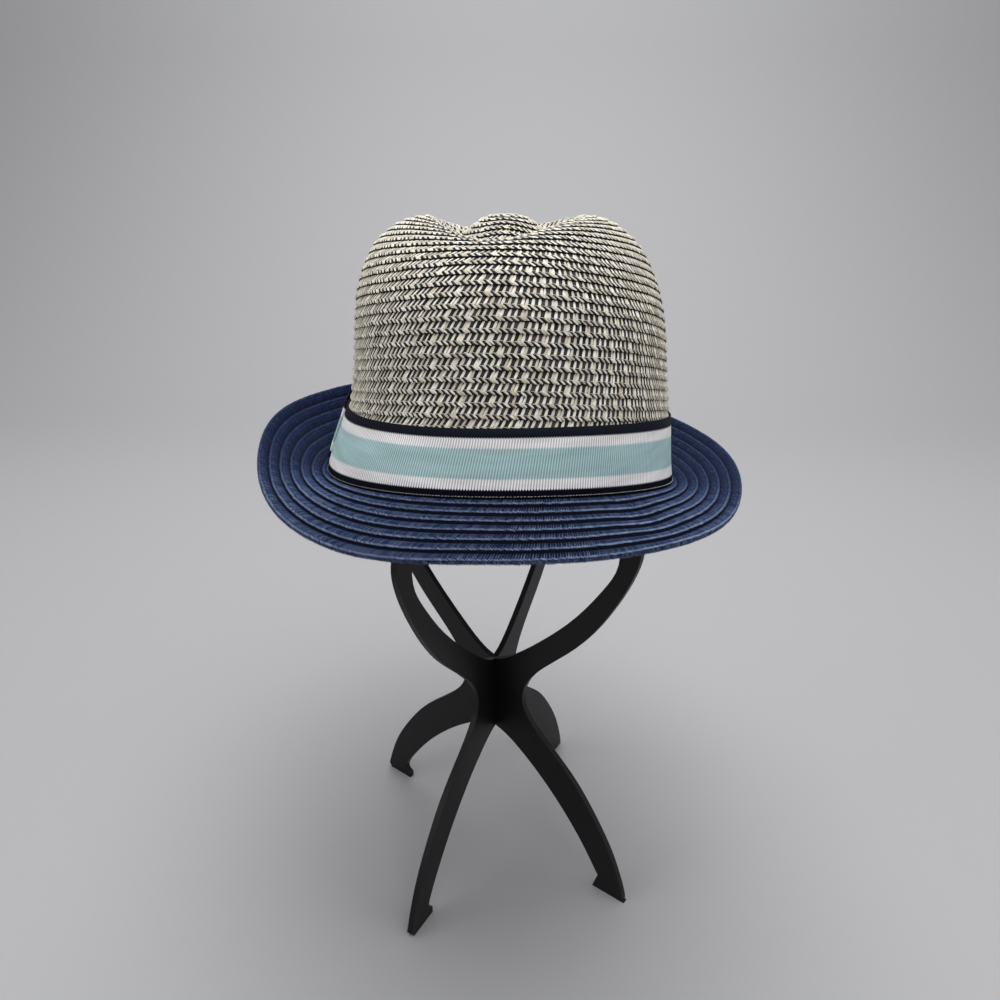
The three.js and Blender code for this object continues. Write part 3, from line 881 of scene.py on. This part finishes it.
def plasticMaterial(name, look):
    material, tree, shader = newMaterial(name)
    place = addNode(tree, "ShaderNodeTexCoord", (-900, 0))
    grain = addNode(tree, "ShaderNodeTexNoise", (-700, 0))
    grain.inputs["Scale"].default_value = look["grain"]
    haze = addNode(tree, "ShaderNodeTexNoise", (-700, -250))
    haze.inputs["Scale"].default_value = look["haze"]
    haze.inputs["Detail"].default_value = look["hazeDetail"]
    for texture in (grain, haze):
        tree.links.new(place.outputs["Object"], texture.inputs["Vector"])
    least, more = look["wear"]
    share = maths(tree, "MULTIPLY_ADD", haze.outputs["Fac"], more, least)
    tree.links.new(mixColours(tree, share, look["black"], look["worn"]), shader.inputs["Base Color"])
    least, more = look["roughness"]
    roughness = maths(tree, "MULTIPLY_ADD", haze.outputs["Fac"], more, least)
    tree.links.new(roughness, shader.inputs["Roughness"])
    shader.inputs["Specular IOR Level"].default_value = look["specular"]
    roughen(tree, shader, grain.outputs["Fac"], look["bump"], look["depth"])
    return material


blackPlastic = plasticMaterial("black_plastic", standSet)


# Evens the plate's curved outlines: every corner between two sharp edges moves towards its
# neighbours and back, and those where three meet stay
def evenOutline(bm, sharp):
    beside = {}
    for edge in sharp:
        for vert in edge.verts:
            beside.setdefault(vert, []).append(edge.other_vert(vert))
    for share in (standSet["pull"], standSet["push"]) * standSet["rounds"]:
        moves = [(vert, (ends[0].co + ends[1].co) / 2 - vert.co) for vert, ends in beside.items()
                 if len(ends) == 2]
        for vert, move in moves:
            vert.co += move * share


def standPlate(name, node):
    bm = bmesh.new()
    bm.from_mesh(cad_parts[node].data)
    bmesh.ops.remove_doubles(bm, verts=bm.verts, dist=weld)
    bmesh.ops.dissolve_limit(bm, angle_limit=math.radians(standSet["flat"]), verts=bm.verts,
                             edges=bm.edges)
    sharp = [edge for edge in bm.edges if len(edge.link_faces) == 2
             and edge.calc_face_angle() > math.radians(standSet["sharp"])]
    evenOutline(bm, sharp)
    bmesh.ops.bevel(bm, geom=sharp, offset=standSet["edge"], offset_type="OFFSET", affect="EDGES",
                    segments=standSet["steps"], profile=standSet["profile"], material=-1,
                    clamp_overlap=True)
    for face in bm.faces:
        face.smooth = True
        face.material_index = 0
    mesh = bpy.data.meshes.new(name)
    bm.to_mesh(mesh)
    bm.free()
    mesh.materials.clear()
    plate = finishPiece(name, mesh, [blackPlastic], node)
    even = plate.modifiers.new("even", "WEIGHTED_NORMAL")
    even.weight = standSet["faceWeight"]
    return plate


standPlate("stand_front_left_plate", "stand_plate_b")
standPlate("stand_front_right_plate", "stand_plate_a")

# Floor and backdrop in one pale sweep
stageSet = {
    "near": -1.6, "bend": 0.9, "radius": 0.7, "wall": 1.6, "width": 3.0, "grid": (8, 60),
    "shade": tone(157, 157, 159), "roughness": 0.7, "specular": 0.2,
}


def makeStage():
    def place(x, y):
        flat = stageSet["bend"] - stageSet["near"]
        curve = stageSet["radius"] * math.pi / 2
        run = y * (flat + curve + stageSet["wall"])
        turn = np.clip((run - flat) / stageSet["radius"], 0, math.pi / 2)
        depth = stageSet["near"] + np.minimum(run, flat) + stageSet["radius"] * np.sin(turn)
        height = stageSet["radius"] * (1 - np.cos(turn)) + np.maximum(run - flat - curve, 0)
        return np.stack([(x - 0.5) * 2 * stageSet["width"], depth, height], -1) / mm

    mesh = wrapGrid("floor", *stageSet["grid"], place, lambda x, y: (x, y))
    floor = bpy.data.objects.new("floor", mesh)
    bpy.context.collection.objects.link(floor)
    material, tree, shader = newMaterial("pale_floor")
    shader.inputs["Base Color"].default_value = stageSet["shade"]
    shader.inputs["Roughness"].default_value = stageSet["roughness"]
    shader.inputs["Specular IOR Level"].default_value = stageSet["specular"]
    mesh.materials.append(material)


makeStage()
print("stage made")

# Light: soft lamps above the front, at each side, overhead and on the backdrop, and a grey surround
lightSet = {
    "lamps": (
        {"name": "key", "place": (0.3, -0.6, 1.5), "aim": (0.0, 0.0, 0.22), "size": 1.1, "power": 8.0},
        {"name": "left", "place": (-1.3, -0.5, 0.8), "aim": (0.0, 0.0, 0.22), "size": 1.0, "power": 4.2},
        {"name": "right", "place": (1.3, -0.4, 0.8), "aim": (0.0, 0.0, 0.22), "size": 1.0, "power": 3.2},
        {"name": "top", "place": (0.0, 0.15, 1.5), "aim": (0.0, 0.05, 0.2), "size": 1.2, "power": 15.0},
        {"name": "wall", "place": (0.0, 0.9, 1.7), "aim": (0.0, 1.6, 1.05), "size": 1.4, "power": 17.0},
    ),
    "surround": tone(205, 205, 207),
    "strength": 0.75,
}


def makeLights(look):
    for lamp in look["lamps"]:
        data = bpy.data.lights.new(lamp["name"], "AREA")
        data.shape = "DISK"
        data.size = lamp["size"]
        data.energy = lamp["power"]
        light = bpy.data.objects.new(lamp["name"], data)
        light.location = lamp["place"]
        aim = Vector(lamp["aim"]) - light.location
        light.rotation_euler = aim.to_track_quat("-Z", "Y").to_euler()
        bpy.context.collection.objects.link(light)
    world = bpy.data.worlds.new("surround")
    world.use_nodes = True
    sky = world.node_tree.nodes["Background"]
    sky.inputs["Color"].default_value = look["surround"]
    sky.inputs["Strength"].default_value = look["strength"]
    bpy.context.scene.world = world
    bpy.context.scene.view_settings.view_transform = "Standard"


makeLights(lightSet)
print("lights made")
